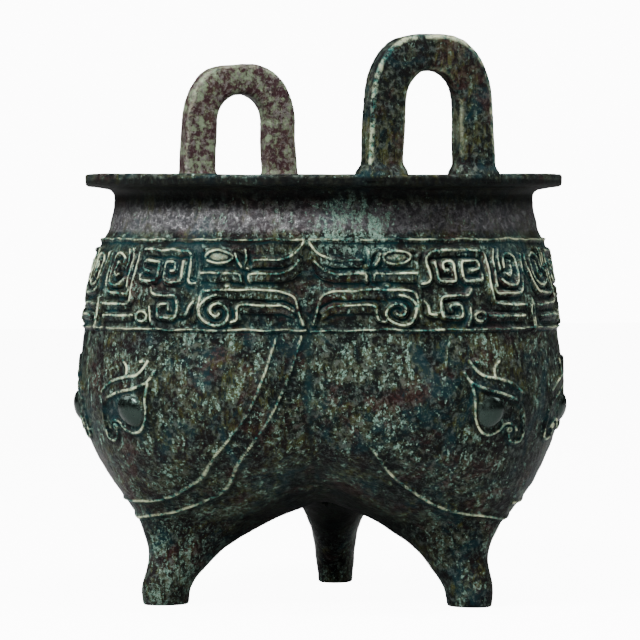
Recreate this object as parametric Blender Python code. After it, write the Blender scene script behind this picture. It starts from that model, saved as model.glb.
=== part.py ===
"""A bronze li-ding: a food cauldron cast in one piece.

Its round neck opens into a flat lip, its belly is parted by three clefts into three
lobes, and each lobe draws in to a short solid leg.  Two loop handles stand on the lip.
Metres, +Z up, standing on z = 0 with the origin under the middle of its bounding box.
"""

import math

import bmesh
import bpy
import numpy as np

MM = 0.001

# --- Driving dimensions -------------------------------------------------------------

LIP_RADIUS = 90.0 * MM
LIP_TOP = 158.3 * MM
LIP_EDGE = 4.2 * MM  # thickness of the lip at its rim
LIP_ROOT = 5.2 * MM  # thickness of the lip where it leaves the neck
NECK_TOP = 149.0 * MM  # where the neck stops being a loft and turns into the lip
WALL = 3.2 * MM

LEG_AZIMUTHS = (-90.0, 30.0, 150.0)  # degrees from +X, seen from above

FRIEZE_LOW = 102.0 * MM
FRIEZE_HIGH = 134.8 * MM
FRIEZE_PROUD = 0.7 * MM  # the ornament stands this far off the wall

CAVITY_LIFT = 2.4 * MM  # the inside follows the outside, this much higher up
CAVITY_FLOOR = 34.0 * MM  # lowest point of the hollow in each lobe
CAVITY_ROUND = 9.0 * MM  # height over which the bottom of each hollow rounds in

REACH = 140.0 * MM  # longer than any ray from inside the vessel to its surface

HANDLE_RADIUS = 82.0 * MM  # from the vessel's axis to the middle of the bar
HANDLE_DEPTH = 8.4 * MM
HANDLE_SPLAY = 0.11  # the bars stand this share further apart at the lip than at the top
HANDLE_ROUND = 2.0 * MM
OUTER_SQUARENESS = 2.6  # exponents of the arches: 2 is round, and more is squarer
INNER_SQUARENESS = 2.15
HANDLE_SINK = 2.5 * MM  # how far the foot of the loop goes into the lip
HANDLES = (  # name, azimuth in degrees, height above the lip, width over the bars, bar
    ("right", 1.3, 50.4 * MM, 47.6 * MM, 13.6 * MM),
    ("left", 178.4, 46.4 * MM, 44.6 * MM, 12.4 * MM),
)

EYE_HEIGHT = 73.2 * MM
EYE_SPREAD = 15.0  # degrees either side of a lobe's middle line, about the vessel's axis
EYE_SIZE = (4.8 * MM, 6.0 * MM, 2.6 * MM)  # half width, half height, how far it stands out

# Each lobe's level section is an ellipse.  One row a height, in millimetres: the height,
# the ellipse's centre measured from the axis, its radial and tangential half sizes, and
# the softness of the valley where it meets the next lobe.
LOBE_SECTIONS = (
    (158.0, 0.0, 78.7, 78.7, 0.3),
    (148.0, 0.0, 78.7, 78.7, 0.3),
    (140.0, 0.5, 80.0, 80.0, 0.4),
    (134.0, 6.0, 78.0, 78.0, 1.5),
    (127.0, 14.0, 72.6, 72.6, 2.6),
    (117.0, 23.0, 66.8, 66.8, 3.2),
    (100.0, 31.0, 61.6, 61.6, 3.4),
    (78.0, 34.5, 60.1, 60.1, 3.6),
    (59.0, 36.0, 54.4, 54.0, 3.8),
    (46.0, 38.8, 46.5, 37.5, 4.0),
    (37.0, 42.5, 37.2, 23.5, 3.6),
    (30.0, 49.4, 26.0, 12.6, 2.5),
    (17.0, 58.6, 13.1, 8.4, 1.5),
    (4.0, 64.8, 9.2, 7.0, 1.0),
    (0.0, 64.8, 8.8, 6.7, 1.0),
)

# The mould slipped a little before the pour: the belly hangs over to one side, low down.
SLIP = 1.8 * MM
SLIP_AZIMUTH = 64.0
SLIP_HEIGHT = 40.0 * MM
SLIP_SPREAD = 15.0 * MM
AXIS_Y = 2.3 * MM  # the vessel's axis, from the middle of the bounding box

# --- How finely the casting is divided ----------------------------------------------

ACROSS = 20  # faces from cleft to cleft over one lobe
NECK_ROWS = (149.0, 144.0, 140.0, 136.6, 135.2)  # heights of the rows above the frieze, mm
BAND_ROWS = (134.2, 126.0, 118.0, 110.0, 102.8)  # heights of the rows on the frieze, mm
BELLY_ROWS = 5  # level rows from the frieze down to where the underside begins
UNDER_ROWS = 7  # rows from there until the clefts meet under the middle
LEG_ROWS = 9  # rows from the middle down to the foot
HOLLOW_UNDER_ROWS = 5  # the same two groups of rows inside the belly
HOLLOW_ROWS = 4

UNDER_START = 62.0 * MM  # below this height the rows tip towards the middle of the underside


# --- The lobed body -----------------------------------------------------------------


def smooth_through(x, knots, values):
    """Values of a monotone cubic through the knots: no overshoot between them."""
    step = np.diff(knots)
    slope = np.diff(values) / step
    tangent = np.zeros(len(knots))
    same = slope[:-1] * slope[1:] > 0
    w1 = 2 * step[1:] + step[:-1]
    w2 = step[1:] + 2 * step[:-1]
    safe = np.where(same, slope[:-1] * slope[1:], 1.0)
    mean = (w1 + w2) * safe / (w1 * slope[1:] + w2 * slope[:-1] + (~same) * 1e9)
    tangent[1:-1] = np.where(same, mean, 0.0)
    tangent[0], tangent[-1] = slope[0], slope[-1]
    x = np.clip(x, knots[0], knots[-1])
    i = np.clip(np.searchsorted(knots, x, side="right") - 1, 0, len(step) - 1)
    t = (x - knots[i]) / step[i]
    h = step[i]
    return (
        values[i] * (1 + 2 * t) * (1 - t) ** 2
        + tangent[i] * h * t * (1 - t) ** 2
        + values[i + 1] * t**2 * (3 - 2 * t)
        + tangent[i + 1] * h * t**2 * (t - 1)
    )


SECTION_TABLE = np.array(LOBE_SECTIONS[::-1]) * MM


def section(z):
    """Centre, radial half size, tangential half size and softness of a lobe at a height."""
    heights = SECTION_TABLE[:, 0]
    return [smooth_through(z, heights, SECTION_TABLE[:, i]) for i in range(1, 5)]


def union_level(x, y, centre, radial, tangential, soft):
    """Below zero inside the three lobes together, above zero outside, with soft valleys."""
    total = np.zeros_like(x)
    for turn in (0.0, 120.0, 240.0):
        ca, sa = math.cos(math.radians(turn)), math.sin(math.radians(turn))
        along = x * ca + y * sa
        beside = -x * sa + y * ca
        level = (np.hypot((along - centre) / radial, beside / tangential) - 1) * tangential
        total += np.exp(-np.clip(level / soft, -60, 60))
    return -soft * np.log(total)


def outside(x, y, z):
    """Level function of the outer surface, in one lobe's own frame (its leg on +X)."""
    return union_level(x, y, *section(z))


def inside(x, y, z):
    """Level function of the cavity: the same lobes, a wall smaller and rounded in below."""
    centre, radial, tangential, soft = section(z - CAVITY_LIFT)
    rise = np.clip((z - CAVITY_FLOOR) / CAVITY_ROUND, 0.0, 1.0)
    close = np.sqrt(np.clip(1 - (1 - rise) ** 2, 1e-6, 1.0))
    radial = np.maximum(radial - WALL, 0.5 * MM) * close
    tangential = np.maximum(tangential - WALL, 0.5 * MM) * close
    return union_level(x, y, centre, radial, tangential, soft)


def first_hit(level, start, direction, reach):
    """Where rays from inside the form first leave it: march out, then halve the step."""
    near = np.zeros(reach.shape)
    far = reach.copy()
    found = np.zeros(reach.shape, bool)
    steps = 48
    for i in range(1, steps + 1):
        here = reach * i / steps
        p = start + direction * here[..., None]
        out = (level(p[..., 0], p[..., 1], p[..., 2]) > 0) & ~found
        far = np.where(out, here, far)
        near = np.where(out, reach * (i - 1) / steps, near)
        found |= out
    for _ in range(30):
        mid = (near + far) / 2
        p = start + direction * mid[..., None]
        out = level(p[..., 0], p[..., 1], p[..., 2]) > 0
        far = np.where(out, mid, far)
        near = np.where(out, near, mid)
    hit = start + direction * ((near + far) / 2)[..., None]
    return np.where(found[..., None], hit, start + direction * reach[..., None])


def ray_line(level, starts, directions):
    return first_hit(level, starts, directions, np.full(len(starts), REACH))


CLEFT = np.array([math.cos(math.radians(60)), math.sin(math.radians(60)), 0.0])


def row_ends(level, level_heights, under_rows, leg_rows, turn_front, foot):
    """Both ends of every row over a lobe.

    The inner end runs down the cleft, in under the belly to the middle, and out again
    along the lobe's inner side.  The outer end runs down the lobe's middle line, and is
    at turn_front when the inner end has reached the middle.
    """
    flat = np.array(level_heights)
    up = np.zeros((len(flat), 3))
    up[:, 2] = flat
    ends = [ray_line(level, up, np.tile(CLEFT, (len(flat), 1)))]
    fronts = [flat]

    turn = np.radians(90) * (np.arange(1, under_rows + 1) / under_rows)
    core = np.array([0.0, 0.0, flat[-1]])
    rays = np.cos(turn)[:, None] * CLEFT - np.sin(turn)[:, None] * np.array([0, 0, 1.0])
    ends.append(ray_line(level, np.tile(core, (under_rows, 1)), rays))
    middle = ends[-1][-1]

    share = np.arange(1, leg_rows + 1) / leg_rows
    fronts.append(flat[-1] + (turn_front - flat[-1]) * np.arange(1, under_rows + 1) / under_rows)
    fronts.append(turn_front + (foot - turn_front) * share)
    height = flat[-1] + (foot - flat[-1]) * share**0.7
    centre = section(height)[0]
    starts = np.stack([centre, 0 * centre, height], 1)
    aim = math.atan2(middle[2] - flat[-1], -section(flat[-1:])[0][0])
    angle = aim + (-math.pi - aim) * share
    rays = np.stack([np.cos(angle), 0 * angle, np.sin(angle)], 1)
    ends.append(ray_line(level, starts, rays))
    return np.concatenate(ends), np.concatenate(fronts)


def lobe_grid(level, ends, fronts, across):
    """Points of one lobe's surface: rows from cleft to cleft, evenly spaced along each."""
    count = len(fronts)
    out = np.zeros((count, 3))
    out[:, 2] = fronts
    out[:, 0] = section(fronts)[0]
    ahead = np.tile(np.array([1.0, 0, 0]), (count, 1))
    front = ray_line(level, out, ahead)
    inner = ends * np.array([1.0, 0, 1.0])
    chord = front - inner
    # The rays start where the chord from the inner end to the front passes the lobe's centre.
    share = np.full(count, 0.5)
    for _ in range(8):
        at = inner + chord * share[:, None]
        share += (section(at[:, 2])[0] - at[:, 0]) / chord[:, 0]
    start = inner + chord * share[:, None]
    forward = chord / np.linalg.norm(chord, axis=1)[:, None]
    back = np.einsum("ij,ij->i", ends - start, forward)
    limit = np.arctan2(np.abs(ends[:, 1]), back)

    side = np.linspace(-1, 1, across + 1)
    angle = limit[:, None] * side[None, :]
    for _ in range(3):
        ray = np.cos(angle)[..., None] * forward[:, None, :]
        ray[..., 1] += np.sin(angle)
        begin = np.broadcast_to(start[:, None, :], ray.shape)
        # A ray stops at the cleft's plane, which bounds the lobe's third of the vessel.
        lean = np.abs(ray[..., 1]) - math.sqrt(3) * ray[..., 0]
        leaves = lean > 1e-4
        room = math.sqrt(3) * begin[..., 0] / np.where(leaves, lean, 1.0)
        reach = np.where(leaves, np.minimum(room, REACH), REACH)
        points = first_hit(level, begin, ray, reach)
        length = np.linalg.norm(np.diff(points, axis=1), axis=2)
        gone = np.concatenate([np.zeros((count, 1)), np.cumsum(length, axis=1)], axis=1)
        even = gone[:, -1:] * (side + 1) / 2
        angle = np.stack([np.interp(even[i], gone[i], angle[i]) for i in range(count)])
    points[:, 0] = ends * np.array([1, -1, 1])
    points[:, -1] = ends
    return points


def turned(points, azimuth):
    """The same points with the lobe's +X turned to an azimuth, in degrees."""
    a = math.radians(azimuth)
    x = points[..., 0] * math.cos(a) - points[..., 1] * math.sin(a)
    y = points[..., 0] * math.sin(a) + points[..., 1] * math.cos(a)
    return np.stack([x, y, points[..., 2]], axis=-1)


def slipped(points):
    """Points moved sideways by the slip of the mould, which fades above and below."""
    shift = SLIP * np.exp(-(((points[..., 2] - SLIP_HEIGHT) / SLIP_SPREAD) ** 2))
    a = math.radians(SLIP_AZIMUTH)
    moved = points.copy()
    moved[..., 0] += shift * math.cos(a)
    moved[..., 1] += shift * math.sin(a)
    return moved


class Skin:
    """Collects faces by the places of their corners, so that neighbours share vertices."""

    def __init__(self):
        self.mesh = bmesh.new()
        self.found = {}

    def vertex(self, point):
        key = tuple(int(round(c / 1e-7)) for c in point)
        if key not in self.found:
            self.found[key] = self.mesh.verts.new(point)
        return self.found[key]

    def face(self, points):
        corners = []
        for point in points:
            corner = self.vertex(point)
            if corner not in corners:
                corners.append(corner)
        if len(corners) > 2 and not self.mesh.faces.get(corners):
            self.mesh.faces.new(corners)

    def grid(self, rows, flip=False):
        rows = slipped(rows)
        for i in range(len(rows) - 1):
            for j in range(len(rows[i]) - 1):
                ring = [rows[i][j], rows[i + 1][j], rows[i + 1][j + 1], rows[i][j + 1]]
                self.face(ring[::-1] if flip else ring)

    def fan(self, row, pole, flip=False):
        row, pole = slipped(row), slipped(pole)
        for j in range(len(row) - 1):
            ring = [row[j], pole, row[j + 1]]
            self.face(ring[::-1] if flip else ring)


def lip_profile():
    """Radius and height of the turned lip, from the neck outside, over, to the neck inside."""
    neck = 78.7 * MM
    mouth = neck - WALL
    under = LIP_TOP - LIP_ROOT
    edge_low = LIP_TOP - LIP_EDGE
    return (
        (neck + 0.3 * MM, under - 1.6 * MM),
        (neck + 2.0 * MM, under),
        (LIP_RADIUS - 1.0 * MM, edge_low),
        (LIP_RADIUS, edge_low + 1.0 * MM),
        (LIP_RADIUS, LIP_TOP - 0.9 * MM),
        (LIP_RADIUS - 0.9 * MM, LIP_TOP),
        (mouth + 1.2 * MM, LIP_TOP),
        (mouth, LIP_TOP - 1.5 * MM),
    )


def build_body():
    """The hollow casting without its handles: three lofted lobes, the lip and the cavity."""
    skin = Skin()
    band = [h * MM for h in BAND_ROWS]
    belly = list(np.linspace(band[-1], UNDER_START, BELLY_ROWS + 1)[1:])
    heights = [h * MM for h in NECK_ROWS] + band + belly
    ends, fronts = row_ends(outside, heights, UNDER_ROWS, LEG_ROWS, 31.0 * MM, 1.2 * MM)
    outer = lobe_grid(outside, ends, fronts, ACROSS)

    # The frieze stands proud of the wall, away from the vessel's axis.
    reach = np.linalg.norm(outer[..., :2], axis=2)
    on_band = (outer[..., 2] > FRIEZE_LOW) & (outer[..., 2] < FRIEZE_HIGH)
    grow = 1 + np.where(on_band, FRIEZE_PROUD / reach, 0.0)
    outer[..., :2] *= grow[..., None]

    hollow_heights = [NECK_TOP, 134.0 * MM, 118.0 * MM, 102.0 * MM, 80.0 * MM, 66.0 * MM]
    ends, fronts = row_ends(inside, hollow_heights, HOLLOW_UNDER_ROWS, HOLLOW_ROWS, 40.0 * MM, 36.5 * MM)
    inner = lobe_grid(inside, ends, fronts, ACROSS)

    last = outer[-1]
    sole = last[:, :] * np.array([1.0, 1.0, 0.0])
    middle = (sole.max(axis=0) + sole.min(axis=0)) / 2
    sole = middle + (sole - middle) * 0.86
    low = np.array([inner[-1][:, 0].mean(), 0.0, CAVITY_FLOOR])

    for azimuth in LEG_AZIMUTHS:
        skin.grid(turned(outer, azimuth))
        skin.grid(turned(np.stack([last, sole]), azimuth))
        skin.fan(turned(sole, azimuth), turned(middle, azimuth))
        skin.grid(turned(inner, azimuth), flip=True)
        skin.fan(turned(inner[-1], azimuth), turned(low, azimuth), flip=True)
        top = outer[0]
        rim_rows = [top]
        for radius, height in lip_profile():
            ring = top * (radius / np.linalg.norm(top[:, :2], axis=1))[:, None]
            ring[:, 2] = height
            rim_rows.append(ring)
        rim_rows.append(inner[0])
        skin.grid(turned(np.stack(rim_rows), azimuth), flip=True)

    mesh = bpy.data.meshes.new("ding_vessel")
    bmesh.ops.recalc_face_normals(skin.mesh, faces=skin.mesh.faces)
    skin.mesh.to_mesh(mesh)
    skin.mesh.free()
    return mesh


# --- Handles and eyes ---------------------------------------------------------------


def arch(half_width, height, foot, squareness, count):
    """An inverted U from its left foot over to its right: straight legs, a squarish arc."""
    rise = min(height * 0.62, half_width * 1.15)
    angles = np.linspace(math.pi, 0.0, count)
    power = 2 / squareness
    x = half_width * np.sign(np.cos(angles)) * np.abs(np.cos(angles)) ** power
    z = height - rise + rise * np.abs(np.sin(angles)) ** power
    spread = 1 + HANDLE_SPLAY * (1 - z / height)
    points = list(zip(x * spread, z))
    ends = half_width * (1 + HANDLE_SPLAY)
    return [(-ends, foot)] + points + [(ends, foot)]


def build_handle(name, azimuth, height, width, bar, cutters):
    """A flat loop with rounded edges, standing across the lip's radius."""
    curve = bpy.data.curves.new("loop_" + name, "CURVE")
    curve.dimensions = "2D"
    curve.fill_mode = "BOTH"
    curve.bevel_depth = HANDLE_ROUND
    curve.bevel_resolution = 1
    curve.offset = -HANDLE_ROUND
    curve.extrude = HANDLE_DEPTH / 2 - HANDLE_ROUND
    outer = arch(width / 2, height, -HANDLE_SINK, OUTER_SQUARENESS, 19)
    inner = arch(width / 2 - bar, height - bar, -HANDLE_SINK, INNER_SQUARENESS, 15)
    outline = outer + inner[::-1]
    spline = curve.splines.new("POLY")
    spline.points.add(len(outline) - 1)
    for point, (x, z) in zip(spline.points, outline):
        point.co = (x, z, 0.0, 1.0)
    spline.use_cyclic_u = True
    loop = bpy.data.objects.new("loop_curve_" + name, curve)
    cutters.objects.link(loop)
    turn = math.radians(azimuth)
    loop.rotation_euler = (math.pi / 2, 0.0, turn + math.pi / 2)
    centre = (HANDLE_RADIUS * math.cos(turn), HANDLE_RADIUS * math.sin(turn), LIP_TOP)
    loop.location = centre
    return as_mesh(loop, "loop_" + name, cutters)


def as_mesh(source, name, collection):
    """A curve object turned into a welded mesh object in the same place."""
    bpy.context.view_layer.update()
    graph = bpy.context.evaluated_depsgraph_get()
    mesh = bpy.data.meshes.new_from_object(source.evaluated_get(graph))
    work = bmesh.new()
    work.from_mesh(mesh)
    bmesh.ops.remove_doubles(work, verts=work.verts, dist=1e-6)
    bmesh.ops.recalc_face_normals(work, faces=work.faces)
    work.to_mesh(mesh)
    work.free()
    made = bpy.data.objects.new(name, mesh)
    made.matrix_world = source.matrix_world.copy()
    collection.objects.link(made)
    bpy.data.objects.remove(source, do_unlink=True)
    return made


def build_eye(azimuth, side, cutters):
    """One bulging eye of a mask: a flattened ball half sunk in the lobe."""
    about = math.radians(EYE_SPREAD * side)
    ray = np.array([[math.cos(about), math.sin(about), 0.0]])
    spot = ray_line(outside, np.array([[0.0, 0.0, EYE_HEIGHT]]), ray)
    x, y, z = turned(spot, azimuth)[0]
    bpy.ops.mesh.primitive_uv_sphere_add(segments=10, ring_count=7, radius=1.0)
    eye = bpy.context.active_object
    eye.name = f"eye_{azimuth:.0f}_{side}".replace("-", "m")
    width, height, stand = EYE_SIZE
    eye.scale = (stand, width, height)
    eye.rotation_euler = (0.0, 0.0, math.radians(azimuth + EYE_SPREAD * side * 1.4))
    eye.location = (x, y, z)
    for old in list(eye.users_collection):
        old.objects.unlink(eye)
    cutters.objects.link(eye)
    return eye


# --- Assembly -----------------------------------------------------------------------


def bronze():
    material = bpy.data.materials.new("bronze")
    material.use_nodes = True
    shader = material.node_tree.nodes["Principled BSDF"]
    shader.inputs["Base Color"].default_value = (0.035, 0.055, 0.05, 1.0)
    shader.inputs["Roughness"].default_value = 0.45
    shader.inputs["Metallic"].default_value = 0.6
    return material


def join_into(body, piece):
    union = body.modifiers.new("join_" + piece.name, "BOOLEAN")
    union.operation = "UNION"
    union.solver = "EXACT"
    union.object = piece
    piece.hide_render = True
    piece.display_type = "WIRE"


def main():
    for old in list(bpy.data.objects):
        bpy.data.objects.remove(old, do_unlink=True)
    parts = bpy.data.collections.new("bronze_ding_vessel")
    cutters = bpy.data.collections.new("joined_shapes")
    bpy.context.scene.collection.children.link(parts)
    bpy.context.scene.collection.children.link(cutters)

    body = bpy.data.objects.new("ding_vessel", build_body())
    parts.objects.link(body)
    body.data.materials.append(bronze())
    for name, azimuth, height, width, bar in HANDLES:
        join_into(body, build_handle(name, azimuth, height, width, bar, cutters))
    for azimuth in LEG_AZIMUTHS:
        for side in (-1, 1):
            join_into(body, build_eye(azimuth, side, cutters))
    for piece in [body] + list(cutters.objects):
        piece.location.y += AXIS_Y
    body.data.shade_smooth()
    body.data.set_sharp_from_angle(angle=math.radians(40))


main()
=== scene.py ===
# %% [markdown]
# # A bronze li-ding and its looks
# A ding is a food cauldron of the Chinese bronze age.  This one is a li-ding: its belly is
# parted into three lobes, and each lobe stands on its own short solid leg.  The real
# vessel was poured in one go, into a clay mould whose sections carried the ornament
# cut into them.  The CAD model holds its form, and this script gives it its fine surface.

# %% Load the frame
import math

import bmesh
import bpy
import numpy as np
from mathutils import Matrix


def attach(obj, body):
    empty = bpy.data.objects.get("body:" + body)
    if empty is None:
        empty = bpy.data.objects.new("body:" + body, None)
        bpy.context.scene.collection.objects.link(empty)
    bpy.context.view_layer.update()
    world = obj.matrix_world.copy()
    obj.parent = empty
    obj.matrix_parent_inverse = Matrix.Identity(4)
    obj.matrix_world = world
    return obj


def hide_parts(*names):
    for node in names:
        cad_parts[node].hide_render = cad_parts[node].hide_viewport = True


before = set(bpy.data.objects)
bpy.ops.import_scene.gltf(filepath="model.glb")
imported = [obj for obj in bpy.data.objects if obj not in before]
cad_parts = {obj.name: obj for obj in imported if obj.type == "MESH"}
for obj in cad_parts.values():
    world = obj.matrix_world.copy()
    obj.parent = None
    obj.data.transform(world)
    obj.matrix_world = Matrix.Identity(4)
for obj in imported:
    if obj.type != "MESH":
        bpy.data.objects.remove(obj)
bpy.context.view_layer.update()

# %% [markdown]
# ## Measures
# These are the casting's driving sizes, the same as in the CAD source.  A founder would
# have fixed them with the clay model.  Keeping them as names lets each later surface be
# worked out from them, and so fit the CAD solid with no adjusting by hand.

# %% Measures
MM = 0.001
LIP_RADIUS, LIP_TOP, LIP_EDGE, LIP_ROOT = 90.0 * MM, 158.3 * MM, 4.2 * MM, 5.2 * MM
NECK_RADIUS, NECK_TOP, WALL = 78.7 * MM, 149.0 * MM, 3.2 * MM
LEG_AZIMUTHS = (-90.0, 30.0, 150.0)
AXIS_Y = 2.3 * MM  # the vessel's axis, from the middle of the CAD box
CAVITY_LIFT, CAVITY_FLOOR, CAVITY_ROUND = 2.4 * MM, 34.0 * MM, 9.0 * MM
SLIP, SLIP_AZIMUTH, SLIP_HEIGHT, SLIP_SPREAD = 1.8 * MM, 64.0, 40.0 * MM, 15.0 * MM
REACH = 140.0 * MM
HANDLE_RADIUS, HANDLE_DEPTH = 82.0 * MM, 8.4 * MM
HANDLE_SPLAY, OUTER_SQUARENESS, INNER_SQUARENESS = 0.11, 2.6, 2.15
HANDLES = (  # name, azimuth in degrees, height above the lip, width over the bars, bar
    ("right", 1.3, 50.4 * MM, 47.6 * MM, 13.6 * MM),
    ("left", 178.4, 46.4 * MM, 44.6 * MM, 12.4 * MM),
)

# Height, centre, radial and tangential half size, and valley softness of a lobe, in mm.
LOBE_SECTIONS = (
    (158.0, 0.0, 78.7, 78.7, 0.3),
    (148.0, 0.0, 78.7, 78.7, 0.3),
    (140.0, 0.5, 80.0, 80.0, 0.4),
    (134.0, 6.0, 78.0, 78.0, 1.5),
    (127.0, 14.0, 72.6, 72.6, 2.6),
    (117.0, 23.0, 66.8, 66.8, 3.2),
    (100.0, 31.0, 61.6, 61.6, 3.4),
    (78.0, 34.5, 60.1, 60.1, 3.6),
    (59.0, 36.0, 54.4, 54.0, 3.8),
    (46.0, 38.8, 46.5, 37.5, 4.0),
    (37.0, 42.5, 37.2, 23.5, 3.6),
    (30.0, 49.4, 26.0, 12.6, 2.5),
    (17.0, 58.6, 13.1, 8.4, 1.5),
    (4.0, 64.8, 9.2, 7.0, 1.0),
    (0.0, 64.8, 8.8, 6.7, 1.0),
)

# %% [markdown]
# ## The lobed body as a formula
# At each height a lobe is an ellipse, and the body is the three ellipses joined with
# soft valleys.  A smooth minimum of three distances does that in one line.  It gives
# clefts that are sharp at the belly and fade out towards the round neck, which is how
# the clay model of such a vessel was shaped over its core.


# %% The lobed body
def smooth_through(x, knots, values):
    """A monotone cubic through the knots: it never overshoots between two of them."""
    step = np.diff(knots)
    slope = np.diff(values) / step
    tangent = np.zeros(len(knots))
    same = slope[:-1] * slope[1:] > 0
    w1 = 2 * step[1:] + step[:-1]
    w2 = step[1:] + 2 * step[:-1]
    safe = np.where(same, slope[:-1] * slope[1:], 1.0)
    mean = (w1 + w2) * safe / (w1 * slope[1:] + w2 * slope[:-1] + (~same) * 1e9)
    tangent[1:-1] = np.where(same, mean, 0.0)
    tangent[0], tangent[-1] = slope[0], slope[-1]
    x = np.clip(x, knots[0], knots[-1])
    i = np.clip(np.searchsorted(knots, x, side="right") - 1, 0, len(step) - 1)
    t = (x - knots[i]) / step[i]
    h = step[i]
    return (
        values[i] * (1 + 2 * t) * (1 - t) ** 2
        + tangent[i] * h * t * (1 - t) ** 2
        + values[i + 1] * t**2 * (3 - 2 * t)
        + tangent[i + 1] * h * t**2 * (t - 1)
    )


SECTION_TABLE = np.array(LOBE_SECTIONS[::-1]) * MM


def section(z):
    """Centre, radial half size, tangential half size and valley softness at a height."""
    return [smooth_through(z, SECTION_TABLE[:, 0], SECTION_TABLE[:, i]) for i in range(1, 5)]


def union_level(x, y, centre, radial, tangential, soft):
    """-soft * log of the sum of exp(-level / soft) over the lobes: negative inside."""
    total = np.zeros_like(x)
    for turn in (0.0, 120.0, 240.0):
        ca, sa = math.cos(math.radians(turn)), math.sin(math.radians(turn))
        along = x * ca + y * sa
        beside = -x * sa + y * ca
        level = (np.hypot((along - centre) / radial, beside / tangential) - 1) * tangential
        total += np.exp(-np.clip(level / soft, -60, 60))
    return -soft * np.log(total)


def outside(x, y, z):
    """Level of the outer surface in a lobe's own frame, where its leg is on +X."""
    return union_level(x, y, *section(z))


def inside(x, y, z):
    """Level of the hollow: the lobes a wall smaller, rounded in towards their floor."""
    centre, radial, tangential, soft = section(z - CAVITY_LIFT)
    rise = np.clip((z - CAVITY_FLOOR) / CAVITY_ROUND, 0.0, 1.0)
    close = np.sqrt(np.clip(1 - (1 - rise) ** 2, 1e-6, 1.0))
    radial = np.maximum(radial - WALL, 0.5 * MM) * close
    tangential = np.maximum(tangential - WALL, 0.5 * MM) * close
    return union_level(x, y, centre, radial, tangential, soft)


def first_hit(level, start, direction, reach):
    """Where each ray first leaves the form: 40 equal steps, then halving the last one."""
    near = np.zeros(reach.shape)
    far = reach.copy()
    found = np.zeros(reach.shape, bool)
    steps = 40
    for i in range(1, steps + 1):
        here = reach * i / steps
        p = start + direction * here[..., None]
        out = (level(p[..., 0], p[..., 1], p[..., 2]) > 0) & ~found
        far = np.where(out, here, far)
        near = np.where(out, reach * (i - 1) / steps, near)
        found |= out
    for _ in range(20):
        mid = (near + far) / 2
        p = start + direction * mid[..., None]
        out = level(p[..., 0], p[..., 1], p[..., 2]) > 0
        far = np.where(out, mid, far)
        near = np.where(out, near, mid)
    hit = start + direction * ((near + far) / 2)[..., None]
    return np.where(found[..., None], hit, start + direction * reach[..., None])


def ray_line(level, starts, directions):
    """The first hit of one ray from each start."""
    return first_hit(level, starts, directions, np.full(len(starts), REACH))


# %% [markdown]
# ## Rows over a lobe
# One lobe with its leg is a third of the casting.  It is covered by rows that run from
# cleft to cleft.  Level rows serve the neck and belly.  Under the belly the rows tip, so
# that their ends meet below the middle and then run out again along the inner side of
# the leg.  Rays from within the lobe find the surface, and even spacing along each row
# keeps the cells the same size, so that relief comes out equally sharp everywhere.

# %% Rows over a lobe
CLEFT = np.array([math.cos(math.radians(60)), math.sin(math.radians(60)), 0.0])


def row_ends(level, level_heights, under_rows, leg_rows, turn_front, foot):
    """The inner end of each row, and the height of its outer end on the middle line."""
    flat = np.array(level_heights)
    up = np.zeros((len(flat), 3))
    up[:, 2] = flat
    ends = [ray_line(level, up, np.tile(CLEFT, (len(flat), 1)))]
    fronts = [flat]
    turn = np.radians(90) * (np.arange(1, under_rows + 1) / under_rows)
    core = np.array([0.0, 0.0, flat[-1]])
    rays = np.cos(turn)[:, None] * CLEFT - np.sin(turn)[:, None] * np.array([0, 0, 1.0])
    ends.append(ray_line(level, np.tile(core, (under_rows, 1)), rays))
    middle = ends[-1][-1]
    share = np.arange(1, leg_rows + 1) / leg_rows
    fronts.append(flat[-1] + (turn_front - flat[-1]) * np.arange(1, under_rows + 1) / under_rows)
    fronts.append(turn_front + (foot - turn_front) * share)
    height = flat[-1] + (foot - flat[-1]) * share**0.7
    centre = section(height)[0]
    starts = np.stack([centre, 0 * centre, height], 1)
    aim = math.atan2(middle[2] - flat[-1], -section(flat[-1:])[0][0])
    angle = aim + (-math.pi - aim) * share
    rays = np.stack([np.cos(angle), 0 * angle, np.sin(angle)], 1)
    ends.append(ray_line(level, starts, rays))
    return np.concatenate(ends), np.concatenate(fronts)


def lobe_grid(level, ends, fronts, across):
    """Rows of points over one lobe, evenly spaced from cleft to cleft."""
    count = len(fronts)
    out = np.zeros((count, 3))
    out[:, 2] = fronts
    out[:, 0] = section(fronts)[0]
    front = ray_line(level, out, np.tile(np.array([1.0, 0, 0]), (count, 1)))
    inner = ends * np.array([1.0, 0, 1.0])
    chord = front - inner
    share = np.full(count, 0.5)
    for _ in range(8):
        at = inner + chord * share[:, None]
        share += (section(at[:, 2])[0] - at[:, 0]) / chord[:, 0]
    start = inner + chord * share[:, None]
    forward = chord / np.linalg.norm(chord, axis=1)[:, None]
    back = np.einsum("ij,ij->i", ends - start, forward)
    limit = np.arctan2(np.abs(ends[:, 1]), back)
    side = np.linspace(-1, 1, across + 1)
    angle = limit[:, None] * side[None, :]
    for _ in range(3):
        ray = np.cos(angle)[..., None] * forward[:, None, :]
        ray[..., 1] += np.sin(angle)
        begin = np.broadcast_to(start[:, None, :], ray.shape)
        lean = np.abs(ray[..., 1]) - math.sqrt(3) * ray[..., 0]
        leaves = lean > 1e-4
        room = math.sqrt(3) * begin[..., 0] / np.where(leaves, lean, 1.0)
        reach = np.where(leaves, np.minimum(room, REACH), REACH)
        points = first_hit(level, begin, ray, reach)
        length = np.linalg.norm(np.diff(points, axis=1), axis=2)
        gone = np.concatenate([np.zeros((count, 1)), np.cumsum(length, axis=1)], axis=1)
        even = gone[:, -1:] * (side + 1) / 2
        angle = np.stack([np.interp(even[i], gone[i], angle[i]) for i in range(count)])
    points[:, 0] = ends * np.array([1, -1, 1])
    points[:, -1] = ends
    return points


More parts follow.
